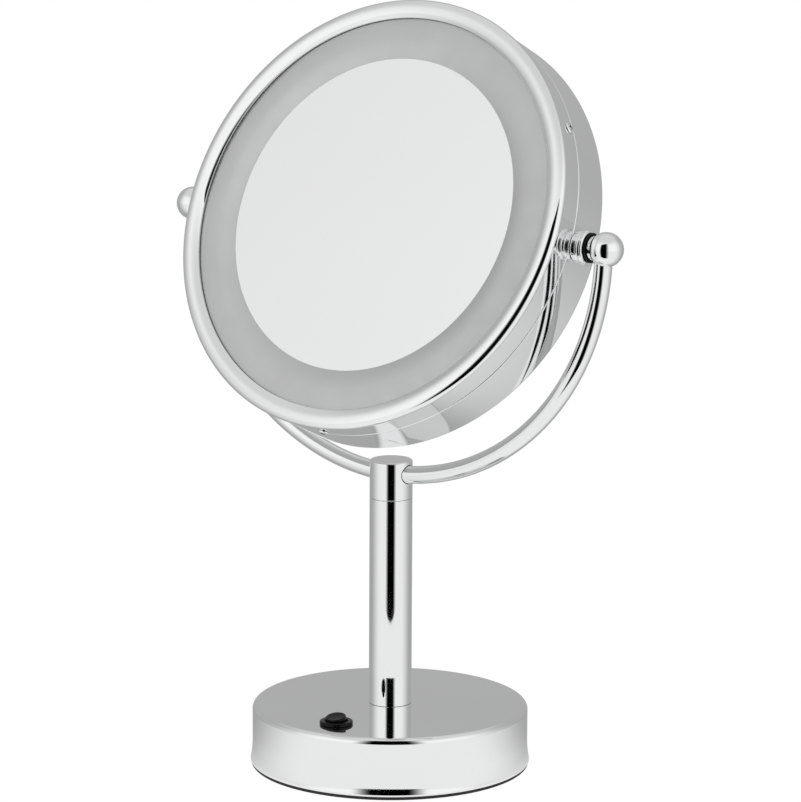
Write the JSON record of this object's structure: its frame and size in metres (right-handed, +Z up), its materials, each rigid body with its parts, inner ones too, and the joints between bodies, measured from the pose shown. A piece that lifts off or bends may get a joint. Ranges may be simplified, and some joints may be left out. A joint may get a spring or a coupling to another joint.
{
  "type": "lighted vanity mirror",
  "caption": "Round double-sided table mirror with a frosted light ring in a chrome drum, tilting in a half-round yoke on a column and a weighted base with a rocker switch.",
  "frame": {"origin": "centre of the foot's resting plane, under the column", "axes": "+Z up the column, -Y to the front where the mirror and the switch face, X along the two side pivots"},
  "size_m": [0.2646, 0.139, 0.3779],
  "materials": {
    "chrome": "polished",
    "mirror_glass": "polished",
    "frosted_ring": "satin",
    "black_plastic": "satin",
    "white_plastic": "satin",
    "rubber": "matte",
    "zinc_steel": "satin",
    "cast_iron": "matte",
    "lamp_board": "matte",
    "led_chip": "satin",
    "cell_jacket": "gloss",
    "wire_sleeve": "satin"
  },
  "bodies": {
    "stand": {"yoke": "chrome", "ball_right": "chrome", "ball_left": "chrome", "pivot_stud_right": "zinc_steel", "pivot_stud_left": "zinc_steel", "pivot_nut_right": "zinc_steel", "pivot_nut_left": "zinc_steel", "friction_washer_right": "black_plastic", "friction_washer_left": "black_plastic", "column_cap": "chrome", "column_tube": "chrome", "tie_rod": "zinc_steel", "tie_washer": "zinc_steel", "tie_nut": "zinc_steel", "column_wire": "wire_sleeve", "base_shell": "chrome", "base_ballast": "cast_iron", "foot_ring": "rubber", "bottom_cover": "black_plastic", "battery_door": "black_plastic", "battery_door_screw": "zinc_steel", "battery_tray": "black_plastic", "cover_screw_1": "zinc_steel", "cover_screw_2": "zinc_steel", "cover_screw_3": "zinc_steel", "cell_1": "cell_jacket", "cell_2": "cell_jacket", "cell_3": "cell_jacket", "cell_spring_1": "zinc_steel", "cell_spring_2": "zinc_steel", "cell_spring_3": "zinc_steel", "contact_plate_near": "zinc_steel", "contact_plate_far": "zinc_steel", "switch_housing": "black_plastic", "rocker_pin": "zinc_steel"},
    "head": {"front_shell": "chrome", "rear_shell": "chrome", "inner_frame": "white_plastic", "case_screw_1": "chrome", "case_screw_2": "chrome", "case_screw_3": "chrome", "front_ring": "frosted_ring", "front_mirror": "mirror_glass", "mirror_backing": "black_plastic", "light_channel": "white_plastic", "led_board": "lamp_board", "led_1": "led_chip", "led_2": "led_chip", "led_3": "led_chip", "led_4": "led_chip", "led_5": "led_chip", "led_6": "led_chip", "rear_mirror": "mirror_glass", "rear_retainer": "black_plastic", "pivot_boss_right": "chrome", "pivot_boss_left": "chrome", "head_wire": "wire_sleeve"},
    "rocker": {"switch_rocker": "black_plastic"}
  },
  "joints": [
    {"name": "head_tilt", "type": "hinge", "parent": "stand", "child": "head", "pos_m": [0, 0, 0.2702], "axis": [1, 0, 0], "range_deg": [-155, 205]},
    {"name": "switch_rocker", "type": "hinge", "parent": "stand", "child": "rocker", "pos_m": [0.0026, -0.0484, 0.0313], "axis": [-1, 0, 0], "range_deg": [0, 22]}
  ]
}
